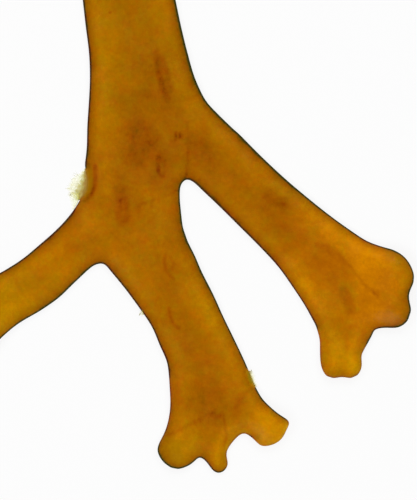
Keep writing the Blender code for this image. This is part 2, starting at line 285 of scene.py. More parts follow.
# The marks: as above, and how far each stands proud of the blade, or is sunk in it, in mm
MARKS = (
    # the long patch on the main axis: its two edges and its heart
    ((0.42, 8.7), (0.47, 7.8), (0.58, 7.1), (0.78, 6.4), (1.02, 5.85), (1.15, 5.7), 0.06, 0.26, 0.09,
     0.006),
    ((0.75, 8.4), (0.95, 7.6), (1.2, 6.9), (1.38, 6.4), 0.05, 0.22, 0.07, 0.006),
    ((0.66, 8.1), (0.85, 7.0), (1.08, 6.3), 0.2, 0.38, 0.1, 0.006),
    ((0.6, 7.2), (0.72, 6.8), 0.1, 0.25, 0.05, 0.0),
    # the brown speck near the cut end
    ((-2.52, 11.12), (-2.48, 11.08), 0.03, 0.1, 0.28, 0.02),
    # the small three-cornered mark and the faint dashes beside it
    ((1.63, 3.62), (1.6, 3.4), (1.58, 3.12), 0.03, 0.13, 0.19, 0.008),
    ((1.9, 3.42), (1.94, 3.36), 0.06, 0.18, 0.24, 0.008),
    ((1.86, 3.4), (1.68, 3.36), 0.03, 0.12, 0.1, 0.004),
    ((1.84, 3.3), (1.72, 3.14), 0.03, 0.14, 0.14, 0.004),
    ((0.5, 3.18), (0.9, 3.22), 0.01, 0.09, 0.06, 0.0),
    ((1.1, 3.2), (1.4, 3.16), 0.01, 0.09, 0.06, 0.0),
    # the bowed crease that runs to the first fork
    ((2.36, 4.2), (2.4, 3.2), (2.38, 2.4), 0.01, 0.14, 0.05, -0.004),
    ((2.38, 2.4), (2.34, 1.6), (2.26, 0.9), 0.02, 0.14, 0.11, -0.01),
    # the oval ring: its heavy left side, its light right side
    ((0.56, 2.14), (0.48, 1.8), (0.49, 1.4), (0.53, 1.3), 0.04, 0.2, 0.17, 0.008),
    ((0.54, 1.2), (0.58, 1.0), (0.68, 0.88), (0.84, 0.84), 0.03, 0.16, 0.17, 0.008),
    ((0.72, 2.12), (0.9, 1.9), (0.96, 1.55), (0.94, 1.2), (0.86, 0.98), 0.03, 0.2, 0.09, 0.006),
    # the russet crease inside the frayed margin
    ((-3.42, 1.5), (-3.4, 0.8), (-3.46, 0.2), (-3.6, -0.15), 0.05, 0.16, 0.22, -0.01),
    ((-3.75, -0.35), (-3.95, -0.52), (-4.2, -0.62), 0.06, 0.2, 0.14, -0.005),
    # the upright blot above the second fork, with a clear spot in it
    ((-1.92, 0.05), (-1.88, -0.4), 0.16, 0.34, 0.11, 0.0),
    ((-1.93, -0.7), (-1.9, -1.0), (-1.97, -1.5), (-1.9, -1.85), 0.08, 0.26, 0.13, 0.006),
    ((-1.7, -0.7), (-1.62, -1.05), 0.14, 0.24, 0.11, 0.004),
    ((-1.44, -0.5), (-1.44, -0.95), (-1.4, -1.5), (-1.46, -1.85), 0.06, 0.24, 0.11, 0.006),
    ((-1.7, -2.04), (-1.55, -2.05), 0.02, 0.2, 0.1, 0.0),
    # the broken row of spots across to the first fork
    ((-0.82, -1.0), (-0.72, -1.04), 0.04, 0.16, 0.12, -0.004),
    ((-0.56, -0.93), (-0.3, -0.86), 0.05, 0.16, 0.17, -0.006),
    ((-0.7, -1.36), (-0.6, -1.34), 0.03, 0.14, 0.11, 0.0),
    ((-0.02, -1.14), (0.1, -1.02), 0.01, 0.14, 0.1, 0.0),
    ((0.08, -0.72), (0.26, -0.62), 0.03, 0.14, 0.15, -0.006),
    ((0.5, -0.58), (0.6, -0.54), 0.01, 0.14, 0.08, 0.0),
    ((0.86, -0.4), (1.08, -0.32), (1.4, -0.16), (1.7, 0.02), 0.02, 0.13, 0.13, -0.006),
    # the faint ring and the curved line on the middle branch
    ((0.95, -4.1), (0.9, -4.6), (1.0, -5.1), (1.5, -5.6), 0.03, 0.15, 0.15, 0.008),
    ((1.25, -4.2), (1.5, -4.6), (1.4, -5.0), 0.02, 0.14, 0.1, 0.006),
    ((1.2, -7.4), (1.26, -7.9), (1.48, -8.4), (1.8, -8.65), 0.03, 0.14, 0.16, -0.008),
    ((1.9, -9.2), (2.5, -10.1), 0.1, 0.4, 0.05, 0.0),
    # the arc across the palm and the crease down from it
    ((1.2, -15.3), (1.6, -15.12), (2.2, -14.8), (2.85, -14.5), (3.3, -14.22), (3.8, -14.04),
      (4.4, -14.04), 0.02, 0.15, 0.16, -0.01),
    ((2.3, -14.76), (2.85, -14.5), (3.3, -14.22), 0.04, 0.18, 0.05, 0.0),
    ((4.0, -14.05), (4.5, -14.08), 0.06, 0.22, 0.18, -0.005),
    ((4.62, -14.2), (4.7, -14.9), (4.75, -15.5), (4.6, -16.0), 0.02, 0.13, 0.12, -0.01),
    ((6.3, -12.35), (5.8, -12.95), (5.3, -13.6), 0.01, 0.13, 0.1, -0.006),
    # the smudges, the slanting ring and the spots of the right branch
    ((7.4, -0.3), (7.9, -0.7), (8.3, -0.85), 0.15, 0.45, 0.15, 0.01),
    ((8.3, -0.9), (8.8, -1.15), 0.02, 0.2, 0.1, 0.0),
    ((7.4, -1.6), (8.2, -2.4), 0.1, 0.6, 0.05, 0.0),
    ((10.4, -3.4), (11.0, -3.5), (11.55, -3.8), (12.05, -4.3), 0.03, 0.18, 0.14, 0.01),
    ((11.1, -3.8), (11.6, -4.2), (12.2, -4.55), (12.05, -4.3), 0.02, 0.18, 0.11, 0.01),
    ((10.4, -4.5), (11.2, -5.1), 0.2, 0.6, 0.08, 0.0),
    ((12.15, -6.4), (12.35, -6.9), (12.55, -7.5), 0.14, 0.38, 0.18, 0.01),
    ((12.35, -4.6), (13.0, -5.4), (13.45, -6.0), (13.9, -6.4), 0.01, 0.12, 0.13, -0.008),
    ((14.0, -6.42), (14.15, -6.5), 0.06, 0.16, 0.26, 0.015),
    ((12.25, -9.1), (12.22, -10.1), 0.02, 0.2, 0.08, 0.0),
    ((12.0, -11.5), (12.0, -11.76), 0.0, 0.25, 0.08, 0.0),
)
# Where the margin's painted dark line of shade is fainter, or with a minus stronger, with the share
# that is missing
FAINT_RIM_SHADE = (
    ((-4.05, 1.0), (-3.98, 0.4), (-4.2, -0.25), 0.2, 0.3, 1.0),
    ((-4.4, -0.6), (-4.56, -0.85), 0.25, 0.3, 0.35),
    ((6.18, -11.4), (6.44, -12.15), 0.12, 0.2, 1.0),
    ((1.2, -12.2), (1.2, -14.6), (0.7, -15.6), 0.2, 0.6, 0.4),
    ((5.0, -16.0), (5.4, -15.5), (5.9, -15.2), 0.1, 0.4, 0.2),
    ((4.75, -16.3), (4.9, -17.1), 0.1, 0.4, 0.4),
    ((6.6, -16.0), (8.2, -15.8), (8.6, -15.1), 0.2, 0.5, 0.85),
    ((8.75, -14.9), (8.69, -14.57), 0.1, 0.4, 0.35),
    ((8.9, 0.4), (12.6, -2.6), (15.2, -3.7), 0.2, 0.5, -0.2),
    ((10.6, -9.0), (10.7, -11.2), 0.2, 0.4, 0.5),
    ((13.6, -10.0), (13.2, -11.0), 0.2, 0.4, 0.5),
    ((10.9, -11.6), (11.5, -11.76), (12.5, -11.76), (13.0, -11.5), 0.1, 0.3, 0.3),
    ((2.0, 0.4), (1.86, -0.45), (1.95, -2.2), 0.2, 0.3, 0.2),
    ((1.6, 11.5), (2.6, 7.5), (3.7, 5.2), (5.4, 3.6), (8.2, 0.9), 0.6, 0.6, -0.2),
    ((-4.2, 11.5), (-3.8, 7.0), (-3.9, 3.0), 0.6, 0.6, -0.12),
    ((3.0, 0.2), (5.6, -2.3), (8.6, -5.6), (10.2, -8.0), 0.5, 0.5, -0.12),
)
# Where the tissue is more russet, or with a minus more olive, than elsewhere
WARMTHS = (
    ((-3.42, 1.5), (-3.4, 0.8), (-3.46, 0.2), (-3.62, -0.2), 0.1, 0.2, 0.5),
    ((-3.9, 1.2), (-3.8, 0.3), (-4.1, -0.5), 0.2, 0.4, -0.5),
    ((-0.7, 3.7), (-0.3, 2.9), (-0.8, 2.2), 0.2, 1.3, 0.23),
    ((3.2, 3.4), (3.8, 2.6), 0.2, 0.8, 0.12),
    ((-2.0, 12.0), (-1.0, 9.0), (-0.6, 6.5), 1.6, 1.6, -0.18),
    ((-3.8, -1.8), (-3.0, -3.2), 0.6, 1.4, 0.12),
    ((9.8, -2.0), (13.4, -4.6), (14.0, -7.0), 0.8, 1.4, 0.34),
    ((9.2, -4.6), (11.4, -6.8), 0.6, 1.4, 0.28),
    ((4.0, -10.4), (4.4, -12.0), 0.5, 1.2, 0.18),
    ((5.2, -14.6), (6.8, -13.2), 0.3, 0.8, 0.12),
    ((8.0, -15.2), (7.4, -14.8), 0.4, 1.0, 0.08),
    ((2.2, -15.6), (2.0, -17.0), 0.5, 0.8, -0.1),
    ((-5.3, -2.6), (-5.6, -3.6), 0.3, 0.8, 0.2),
    ((1.5, 0.0), (1.5, -1.2), 0.2, 0.6, 0.2),
    ((5.0, -1.6), (6.0, -2.5), 0.1, 0.5, 0.2),
    ((3.4, -6.4), (4.5, -8.6), 0.4, 0.8, -0.2),
    ((0.5, -7.6), (0.6, -8.4), 0.3, 0.7, -0.15),
    ((12.2, -6.4), (12.6, -7.2), 0.3, 0.5, -0.5),
    ((11.8, -8.2), (12.6, -8.2), 0.2, 0.6, 0.12),
    ((12.2, -11.4), (12.8, -11.4), 0.2, 0.5, -0.2),
    ((8.2, -2.2), (8.6, -2.6), 0.3, 0.6, -0.15),
    ((1.3, -10.6), (1.5, -15.2), 0.3, 0.6, 0.14),
    ((4.2, -16.6), (4.5, -17.2), 0.2, 0.5, -0.2),
    ((-1.5, -3.3), (-1.7, -3.7), 0.2, 0.7, 0.2),
    ((-7.4, -5.4), (-7.8, -6.0), 0.3, 0.7, 0.2),
    ((-9.0, -7.0), (-9.6, -8.2), 0.3, 0.7, -0.15),
    ((2.0, 2.9), (2.0, 2.1), 0.4, 0.8, -0.12),
    ((1.3, -16.9), (0.9, -16.2), 0.4, 1.0, -0.55),
    ((-7.6, -7.0), (-12.0, -8.0), 0.8, 2.0, -0.3),
    ((13.4, -4.0), (14.2, -5.8), (13.4, -9.0), 0.6, 1.0, 0.28),
    ((8.2, -0.4), (9.6, -0.6), 0.3, 0.8, -0.28),
    ((2.0, 9.5), (2.8, 6.0), (4.0, 4.6), 0.3, 0.8, -0.15),
    # a painted olive colour fringe of light on the line of the margins that look up to the right, and
    # of the right lobe's end
    ((5.6, 3.5), (9.7, -0.4), (12.5, -2.5), (15.2, -3.75), 0.05, 0.15, -0.5),
    ((7.6, -13.6), (8.69, -14.57), (8.3, -15.5), 0.08, 0.15, -0.6),
)
# Where the margin's tissue is bleached, with how much of its brown is gone
BLEACHED = (
    ((-3.95, 0.9), (-3.86, 0.4), (-3.95, -0.1), 0.05, 0.4, 0.12),
    ((6.22, -11.45), (6.3, -11.8), (6.38, -12.0), 0.04, 0.18, 0.7),
)

# The bleached film that frays out of the left margin, as rows that each run from its frayed end
# to where it lies on the blade
FRAYED_FILM = (
    ((-4.1, 1.36), (-4.0, 1.37)),
    ((-4.46, 1.04), (-3.94, 1.06)),
    ((-4.84, 0.78), (-3.86, 0.8)),
    ((-5.06, 0.5), (-3.82, 0.5)),
    ((-5.13, 0.22), (-3.82, 0.22)),
    ((-5.12, -0.06), (-3.88, -0.04)),
    ((-5.0, -0.32), (-4.02, -0.28)),
    ((-4.8, -0.5), (-4.18, -0.46)),
    ((-4.62, -0.66), (-4.36, -0.62)),
)
# Its thinner, paler lower end, which comes out from under the margin
LOWER_FILM = (
    ((-5.02, -0.16), (-4.44, -0.16)),
    ((-5.12, -0.3), (-4.4, -0.32)),
    ((-5.04, -0.5), (-4.42, -0.5)),
    ((-4.97, -0.7), (-4.48, -0.7)),
    ((-4.96, -0.9), (-4.58, -0.9)),
    ((-4.92, -1.1), (-4.7, -1.08)),
    ((-4.86, -1.24), (-4.78, -1.22)),
)
# The paler fringe at the nick in the middle branch, and the scrap on its other margin
NICK_FILM = (
    ((6.16, -11.3), (6.42, -11.3)),
    ((6.25, -11.58), (6.56, -11.6)),
    ((6.3, -11.84), (6.6, -11.84)),
    ((6.4, -12.08), (6.68, -12.1)),
    ((6.52, -12.3), (6.72, -12.34)),
)
SCRAP_FILM = (
    ((-0.6, -7.5), (-0.5, -7.48)),
    ((-0.7, -7.62), (-0.44, -7.58)),
    ((-0.72, -7.78), (-0.4, -7.68)),
    ((-0.6, -7.9), (-0.38, -7.78)),
)
FILM_COLUMNS = 12  # the strips of its cage from one end of a row to the other
FILM_THICKNESS = 0.02  # mm
FILM_ON_BLADE = 0.18  # mm, the height at which the film lies on the rim
# Places across the film, as shares of its width from the end that is held
FILM_ROOT = 0.12  # where it has come out of the blade's skin
FILM_PLAIN = 0.25  # where its spots are at their strongest
FILM_WHOLE = 1 / 3  # where it starts to be ragged
FILM_DOWN = 0.625  # where it has sunk all the way
FILM_DEPTH = 0.3  # how deep in the skin it starts, as a share of FILM_ON_BLADE
FILM_SAG = 0.12  # mm, how far it sinks
RAGS = 0.2  # how far its ragged end strays, as a share of the film's width
RAG_LENGTH = 0.15  # mm
WRINKLE = 0.06  # mm, the height of its wrinkles
WRINKLE_LENGTH = 0.25  # mm
# The hairs at the film's frayed end, with the least and the most of what is drawn
HAIR_SEED = 11
HAIR_COUNT = 46
HAIR_ROOTS = (0.05, 0.5)  # mm, how far inside the film's end they start
HAIR_HEIGHTS = (0.08, 0.2)  # mm, of their roots above the table
HAIR_LENGTHS = (0.18, 0.42)  # mm
HAIR_SLOPES = (-0.1, 0.1)
HAIR_BENDS = (-14, 14)  # degrees, from one part to the next
HAIR_HEADING = (185, 28)  # degrees from X: the middle, and how far most stray from it
HAIR_WIDTH = 0.014  # mm, at the root
HAIR_PARTS = 5  # the short straight stretches of a hair
HAIR_TAPER = 0.82  # each part's width, as a share of the last one's
# Grains of silt on the margins: place, length and width in mm, and turn from X in degrees
GRAINS = (
    ((-4.97, -0.3), 0.1, 0.09, 0),
    ((-0.64, -7.76), 0.2, 0.06, 65),
    ((6.35, -11.32), 0.18, 0.05, 95),
)
GRAIN_HEIGHT = 0.2  # mm, of a grain's middle above the table
GRAIN_FLATNESS = 0.6  # its height, as a share of its length
GRAIN_RELIEF = 0.04  # mm, the height and the size of its faces

# Materials


def linear(hex_colour):
    """An sRGB hex colour as the linear colour that a material takes."""
    parts = [int(hex_colour[i:i + 2], 16) / 255 for i in (0, 2, 4)]
    return [c / 12.92 if c <= 0.04045 else ((c + 0.055) / 1.055) ** 2.4 for c in parts] + [1]


def set_stops(ramp, stops):
    """Gives a colour ramp its stops: (position, grey or hex colour)."""
    while len(ramp.elements) < len(stops):
        ramp.elements.new(1.0)
    for element, (position, colour) in zip(ramp.elements, stops):
        element.position = position
        element.color = linear(colour) if isinstance(colour, str) else (colour,) * 3 + (1,)


def feed(node, **inputs):
    """Gives a node its inputs, by name or as _number: values, or the sockets that feed them."""
    for key, value in inputs.items():
        socket = node.inputs[int(key[1:])] if key[0] == "_" else node.inputs[key.replace("_", " ")]
        if isinstance(value, bpy.types.NodeSocket):
            node.id_data.links.new(value, socket)
        else:
            socket.default_value = value


def add_node(tree, kind, settings=(), out=0, **inputs):
    """Adds a node with its settings and its inputs, and hands over one of its outputs."""
    made = tree.nodes.new("ShaderNode" + kind)
    for key, value in dict(settings).items():
        if key == "stops":
            set_stops(made.color_ramp, value)
        else:
            setattr(made, key, value)
    feed(made, **inputs)
    return made.outputs[out] if made.outputs else None


def new_material(name):
    """A material, its nodes, its Principled shader and the place that patterns hang on."""
    material = bpy.data.materials.new(name)
    material.use_nodes = True
    tree = material.node_tree
    place = add_node(tree, "TexCoord", out="Object")
    return material, tree, tree.nodes["Principled BSDF"], place


def mottled(tree, place, value, *layers):
    """A value with noise added to it. A layer is the size of its blotches in mm, its detail, how
    far it is shifted to differ from the others, and how much it adds."""
    for size, detail, shift, share in layers:
        shifted = add_node(tree, "Mapping", Vector=place, Location=(shift, 0, 0))
        noise = add_node(
            tree, "TexNoise", Vector=shifted, Scale=1 / (size * MM), Detail=detail, Roughness=0.55
        )
        value = add_node(tree, "Math", {"operation": "MULTIPLY_ADD"}, _0=noise, _1=share, _2=value)
    return value


def thallus_material():
    """Wet brown-algal tissue, freshly lifted from water. Its brown pigment is see-through, and its
    colours are painted as they look with light shining through the tissue: a painted glow of
    saturated orange where it is thin and a deep brown where it is dense, blotched with russet and
    olive, with a painted dark line of shade at its rim. Its smooth wet skin has a low gloss that
    is seen only at a slant."""
    material, tree, shader, place = new_material("wet brown algal thallus")
    margin, tone, rim_shade_share, warmth, bleached = (
        add_node(tree, "Attribute", {"attribute_name": name}, "Fac")
        for name in ("margin", "tone", "rim", "warmth", "bleached")
    )

    # Blotches of 0.6 and 0.22 mm, and grains of 0.08 mm, in the pigment
    total = mottled(
        tree, place, tone, (0.6, 2, 0, 0.29), (0.22, 1, 0.1, 0.19), (0.08, 0, 0.2, 0.08)
    )
    total = add_node(tree, "Math", {"operation": "SMOOTH_MIN"}, _0=total, _1=DARKEST, _2=0.15)
    # By the rim: a painted dark line, the shade where light bends at the rounded rim, and what is left
    # of it, a painted clearer band where more light shines through the thinner tissue, and the plain
    # middle
    reach = add_node(tree, "MapRange", Value=margin, From_Max=RIM_REACH)
    for share, stops in (
        (rim_shade_share, (
            (0.0, 0.6), (0.012, 0.82), (0.03, 0.66), (0.05, 0.46), (0.07, 0.34), (0.1, 0.26),
            (0.14, 0.2), (0.18, 0.145), (0.23, 0.09), (0.3, 0.035), (0.4, 0.0),
        )),
        (1.0, ((0.0, 0.04), (0.4, 0.0), (0.6, 0.02), (1.0, 0.12))),
    ):
        density = add_node(tree, "ValToRGB", {"stops": stops}, Fac=reach)
        total = add_node(tree, "Math", {"operation": "MULTIPLY_ADD"}, _0=density, _1=share, _2=total)
    hue = mottled(tree, place, warmth, (0.7, 2, 0.3, 1.45), (0.25, 1, 0.4, 1.0))
    hue = add_node(tree, "Clamp", Value=hue)

    densities = (0.0, 0.2, 0.35, 0.5, 0.65, 0.8, 0.9, 1.0)
    olive, russet = (
        add_node(tree, "ValToRGB", {"stops": tuple(zip(densities, colours.split()))}, Fac=total)
        for colours in (
            "cf9602 bd8501 ab7601 9f6a01 955c01 825000 644600 343200",
            "dc8c01 cb7b01 b96c01 ad6001 a15501 944800 7e3600 501600",
        )
    )
    pigment = add_node(tree, "Mix", {"data_type": "RGBA"}, 2, _0=hue, _6=olive, _7=russet)
    paled = add_node(
        tree, "Mix", {"data_type": "RGBA"}, 2, _0=bleached, _6=pigment, _7=linear("7d7203")
    )

    # Cells of 0.03 mm lie in rows under the skin; they are drawn at 0.07 mm to be seen at all
    cells = add_node(
        tree, "TexVoronoi", {"feature": "SMOOTH_F1"}, Vector=place, Scale=1 / (0.07 * MM)
    )
    fine = add_node(tree, "Bump", Strength=0.25, Distance=0.006 * MM, Height=cells)
    skin = add_node(
        tree, "Bump", Strength=0.5, Distance=0.03 * MM,
        Height=mottled(tree, place, 0.0, (0.5, 2, 0.5, 1.0)), Normal=fine,
    )
    wet = add_node(
        tree, "MapRange", Value=mottled(tree, place, 0.0, (1.6, 2, 0.6, 1.0)),
        From_Min=0.35, From_Max=0.65, To_Min=0.16, To_Max=0.3,
    )
    # The rim is too finely rounded to gleam
    dull = add_node(
        tree, "MapRange", Value=margin, From_Min=0.1, From_Max=0.2, To_Min=0.45, To_Max=0.0
    )
    roughness = add_node(tree, "Math", {"operation": "ADD"}, _0=dull, _1=wet)
    feed(shader, Base_Color=paled, Roughness=roughness, IOR=1.37, Specular_IOR_Level=0.14, Normal=skin)
    return material


def cut_material():
    """Freshly cut thallus: pale colourless inner cells between two thin brown skins."""
    material, tree, shader, place = new_material("cut algal tissue")
    height = add_node(tree, "SeparateXYZ", out="Z", Vector=place)
    level = add_node(tree, "MapRange", Value=height, From_Max=THICKNESS * MM)
    layers = add_node(tree, "ValToRGB", {"stops": (
        (0.16, "8a5202"), (0.26, "c79a3c"), (0.5, "d3ad55"), (0.74, "c79a3c"), (0.84, "8a5202"),
    )}, Fac=level)
    cells = add_node(tree, "TexVoronoi", Vector=place, Scale=1 / (0.06 * MM))
    bump = add_node(tree, "Bump", Strength=0.6, Distance=0.015 * MM, Height=cells)
    feed(shader, Base_Color=layers, Roughness=0.45, Specular_IOR_Level=0.22, Normal=bump)
    return material


def film_material():
    """Bleached algal film: dead tissue that has lost its pigment, tan where it still holds on
    to the blade, then straw, and ever more see-through where it frays out."""
    material, tree, shader, place = new_material("bleached algal film")
    level, loose = (
        add_node(tree, "Attribute", {"attribute_name": name}, "Fac") for name in ("fray", "loose")
    )
    # Thin and thick spots of 0.3 mm and 0.12 mm move the stages of decay to and fro
    for size, share in ((0.3, 0.45), (0.12, 0.2)):
        spots = add_node(tree, "TexNoise", Vector=place, Scale=1 / (size * MM), Detail=1.0)
        uneven = add_node(tree, "Math", {"operation": "SUBTRACT"}, _0=spots, _1=0.5)
        uneven = add_node(tree, "Math", {"operation": "MULTIPLY"}, _0=uneven, _1=loose)
        level = add_node(
            tree, "Math", {"operation": "MULTIPLY_ADD"}, _0=uneven, _1=share, _2=level
        )
    # Brown, tan, straw, pale yellow and cream
    colour = add_node(tree, "ValToRGB", {"stops": (
        (0.0, "9c6806"), (0.2, "a8801c"), (0.45, "c0b038"), (0.75, "f4f284"), (1.0, "fafaac"),
    )}, Fac=level)
    # Some spots have turned greener than others
    green = add_node(tree, "TexNoise", Vector=place, Scale=1 / (0.35 * MM), Detail=1.0)
    green = add_node(tree, "MapRange", Value=green, From_Min=0.5, From_Max=0.75, To_Max=0.5)
    greener = add_node(
        tree, "Mix", {"data_type": "RGBA", "blend_type": "MULTIPLY"}, 2, _0=green,
        _6=colour, _7=linear("e4ffd0"),
    )
    # How much each of the film's two skins hides
    body = add_node(tree, "ValToRGB", {"stops": (
        (0.0, 0.5), (0.07, 0.9), (0.4, 0.68), (0.65, 0.22), (1.0, 0.0),
    )}, Fac=level)
    feed(shader, Base_Color=greener, Roughness=0.5, Specular_IOR_Level=0.2, Alpha=body)
    return material


def flecked(name, size, stops, roughness, alpha):
    """A material of two colours, in flecks of a size in mm."""
    material, tree, shader, place = new_material(name)
    flecks = add_node(tree, "TexNoise", Vector=place, Scale=1 / (size * MM), Detail=1.0)
    colour = add_node(tree, "ValToRGB", {"stops": stops}, Fac=flecks)
    feed(shader, Base_Color=colour, Roughness=roughness, Alpha=alpha)
    return material


def hair_material():
    """Bleached hairs and threads: colourless cell walls, a pale straw yellow."""
    return flecked("bleached algal hair", 0.15, ((0.3, "e8e2a2"), (0.7, "f8f6c2")), 0.5, 0.45)


def grain_material():
    """Silt: quartz and clay grains, a dull olive grey."""
    return flecked("silt grain", 0.03, ((0.3, "a39e78"), (0.7, "c6c29e")), 0.8, 1.0)


def table_material():
    """A white acrylic light table: matt, and lit from within."""
    material, _, shader, _ = new_material("opal acrylic light table")
    feed(
        shader, Base_Color=linear("606060"), Roughness=0.9, Specular_IOR_Level=0.0,
        Emission_Color=linear("ffffff"), Emission_Strength=0.86,
    )
    return material


# The sheet


def filled(rows, columns):
    """The rows with as many points each as the last one, bending towards it bit by bit."""
    last = [Vector(p) for p in rows[-1]]
    shares = [sum(columns[:i]) / sum(columns) for i in range(len(columns) + 1)]
    bends = [p - last[0].lerp(last[-1], share) for p, share in zip(last, shares)]
    made = []
    for i, row in enumerate(rows[:-1]):
        start, end, near = Vector(row[0]), Vector(row[-1]), (i / (len(rows) - 1)) ** 3
        made.append([start.lerp(end, s) + near * bend for s, bend in zip(shares, bends)])
    return made + [last]


def between(a, b, c, d, t):
    """The point at share t of the way from b to c, on a smooth curve through all four."""
    return b + t / 2 * (c - a + t * (2 * a - 5 * b + 4 * c - d + t * (3 * b - a - 3 * c + d)))


def closer(rows):
    """The rows with others between them, so that they lie about ROW_STEP apart."""
    made = []
    for i, (b, c) in enumerate(zip(rows, rows[1:])):
        a, d = rows[max(i - 1, 0)], rows[min(i + 2, len(rows) - 1)]
        gap = ((c[0] - b[0]).length + (c[-1] - b[-1]).length) / 2
        count = max(1, round(gap / ROW_STEP))
        for step in range(count):
            made.append([between(*points, step / count) for points in zip(a, b, c, d)])
    return made + [rows[-1]]


def select_vertices(piece, numbers):
    """In edit mode, selects these vertices and nothing else."""
    bpy.ops.mesh.select_all(action="DESELECT")
    shape = bmesh.from_edit_mesh(piece.data)
    shape.verts.ensure_lookup_table()
    for number in numbers:
        shape.verts[number].select_set(True)
    shape.select_flush(True)
    bmesh.update_edit_mesh(piece.data)


def lay(name, rows, columns):
    """One stretch: a grid whose rows are sized, turned and moved to their places, one by one."""
    rows = closer(filled(rows, columns))
    across, down = sum(columns), len(rows) - 1
    select_only()
    bpy.ops.mesh.primitive_grid_add(
        x_subdivisions=across, y_subdivisions=down, size=GRID_SIZE, location=(0, 0, 0)
    )
    piece = bpy.context.object
    piece.name = piece.data.name = name
    bpy.ops.object.mode_set(mode="EDIT")
    for i, row in enumerate(rows):
        column = 0
        for start, end, count in zip(row, row[1:], columns):
            first = (down - i) * (across + 1) + column
            select_vertices(piece, range(first + (column > 0), first + count + 1))
            hinge = GRID_SIZE * Vector((column / across - 0.5, 0.5 - i / down, 0))
            size = (end - start).length * MM / (GRID_SIZE * count / across)
            bpy.ops.transform.resize(value=(size, size, size), center_override=hinge)
            turn = math.atan2(end.y - start.y, end.x - start.x)
            bpy.ops.transform.rotate(value=-turn, orient_axis="Z", center_override=hinge)
            bpy.ops.transform.translate(value=start.to_3d() * MM - hinge)
            column += count
    bpy.ops.object.mode_set(mode="OBJECT")
    return piece


def push_margins_out(shape):
    """Smoothing draws a margin in by a sixth of its bend, so it is moved out by that first."""
    moved = {}
    for vertex in shape.verts:
        ends = [e.other_vert(vertex).co for e in vertex.link_edges if e.is_boundary]
        if len(ends) == 2 and vertex.co.y < AS_LAID * MM:
            moved[vertex] = vertex.co + (2 * vertex.co - ends[0] - ends[1]) / 6
    for vertex, place in moved.items():
        vertex.co = place


def select_only(*pieces):
    """Selects these pieces, if any, and nothing else, and makes the first one active."""
    bpy.ops.object.select_all(action="DESELECT")
    for piece in pieces:
        piece.select_set(True)
        bpy.context.view_layer.objects.active = pieces[0]


def apply(piece, kind, **settings):
    """Adds a modifier and applies it."""
    select_only(piece)
    modifier = piece.modifiers.new(kind.lower(), kind)
    for key, value in settings.items():
        setattr(modifier, key, value)
    bpy.ops.object.modifier_apply(modifier=modifier.name)


def places_of(piece):
    """The places of a piece's vertices, in mm."""
    flat = np.empty(3 * len(piece.data.vertices))
    piece.data.vertices.foreach_get("co", flat)
    return flat.reshape(-1, 3) / MM


def paint(piece, name, values):
    """Gives each vertex a value that the material reads."""
    layer = piece.data.attributes.new(name, "FLOAT", "POINT")
    layer.data.foreach_set("value", np.asarray(values, dtype=np.float32))


def weigh(piece, name, values):
    """Gives each vertex a weight that a modifier reads."""
    group = piece.vertex_groups.new(name=name)
    for number, value in enumerate(values):
        if value > 0:
            group.add([number], float(value), "REPLACE")


def smooth_step(share):
    """From 0 to 1 with a gentle start and end."""
    share = np.clip(share, 0, 1)
    return share * share * (3 - 2 * share)


def away(places, line):
    """How far each place is from a line of points, in mm."""
    nearest, line = np.full(len(places), np.inf), np.array(line)
    for a, b in zip(line, line[1:]):
        along = np.clip((places[:, :2] - a) @ (b - a) / ((b - a) @ (b - a)), 0, 1)
        off = places[:, :2] - a - along[:, None] * (b - a)
        nearest = np.minimum(nearest, np.hypot(off[:, 0], off[:, 1]))
    return nearest


def nearest_margin(piece, places):
    """For each vertex, how far the blade's margin is, in mm, and how much that margin looks to
    the right, from -1 to 1. The cut end is no margin."""
    shape = bmesh.new()
    shape.from_mesh(piece.data)
    off_cut = away(places, CUT)
    tree = kdtree.KDTree(4 * len(shape.edges))
    facing = []
    for edge in shape.edges:
        if edge.is_boundary and max(off_cut[end.index] for end in edge.verts) > SAME_PLACE:
            a, b = (end.co.xy / MM for end in edge.verts)
            outwards = (a + b) / 2 - edge.link_faces[0].calc_center_median().xy / MM
            for step in range(4):
                tree.insert(a.lerp(b, step / 4).to_3d(), len(facing))
                facing.append(outwards.normalized().x)
    tree.balance()
    found = [tree.find((vertex.co / MM).xy.to_3d()) for vertex in shape.verts]
    shape.free()
    return np.array([(distance, facing[number]) for _, number, distance in found]).T


def painted(places, marks):
    """The sum of all marks at each place."""
    total = np.zeros(len(places))
    for *line, core, fade, amount in marks:
        total += amount * smooth_step(1 - (away(places, line) - core) / fade)
    return total


def raise_tips(piece):
    """Lifts the tips off the table, as proportional editing with a smooth falloff does."""
    places = places_of(piece)
    for place, reach, top in LIFTS:
        near = 1 - np.hypot(*(places[:, :2] - place).T) / reach
        places[:, 2] += top * smooth_step(near)
    piece.data.vertices.foreach_set("co", (places * MM).ravel())
    piece.data.update()


def displace(piece, height, group="", size=None, middle=0.0, direction="Z"):
    """Moves vertices by a height in mm, as far as their vertex group says. With a size in mm,
    they move in a soft pattern of hills and hollows, of which the middle stays in its place."""
    hills = None
    if size:
        hills = bpy.data.textures.new("hills", "CLOUDS")
        hills.noise_scale = size * MM
        hills.noise_depth = 1
    apply(
        piece, "DISPLACE", strength=height * MM, vertex_group=group, texture=hills,
        texture_coords="LOCAL", mid_level=middle, direction=direction,
    )


def take_out(piece, numbers, *groups):
    """Takes these vertices out of these vertex groups."""
    bpy.ops.object.mode_set(mode="EDIT")
    select_vertices(piece, numbers)
    for name in groups:
        piece.vertex_groups.active_index = piece.vertex_groups[name].index
        bpy.ops.object.vertex_group_remove_from()
    bpy.ops.object.mode_set(mode="OBJECT")


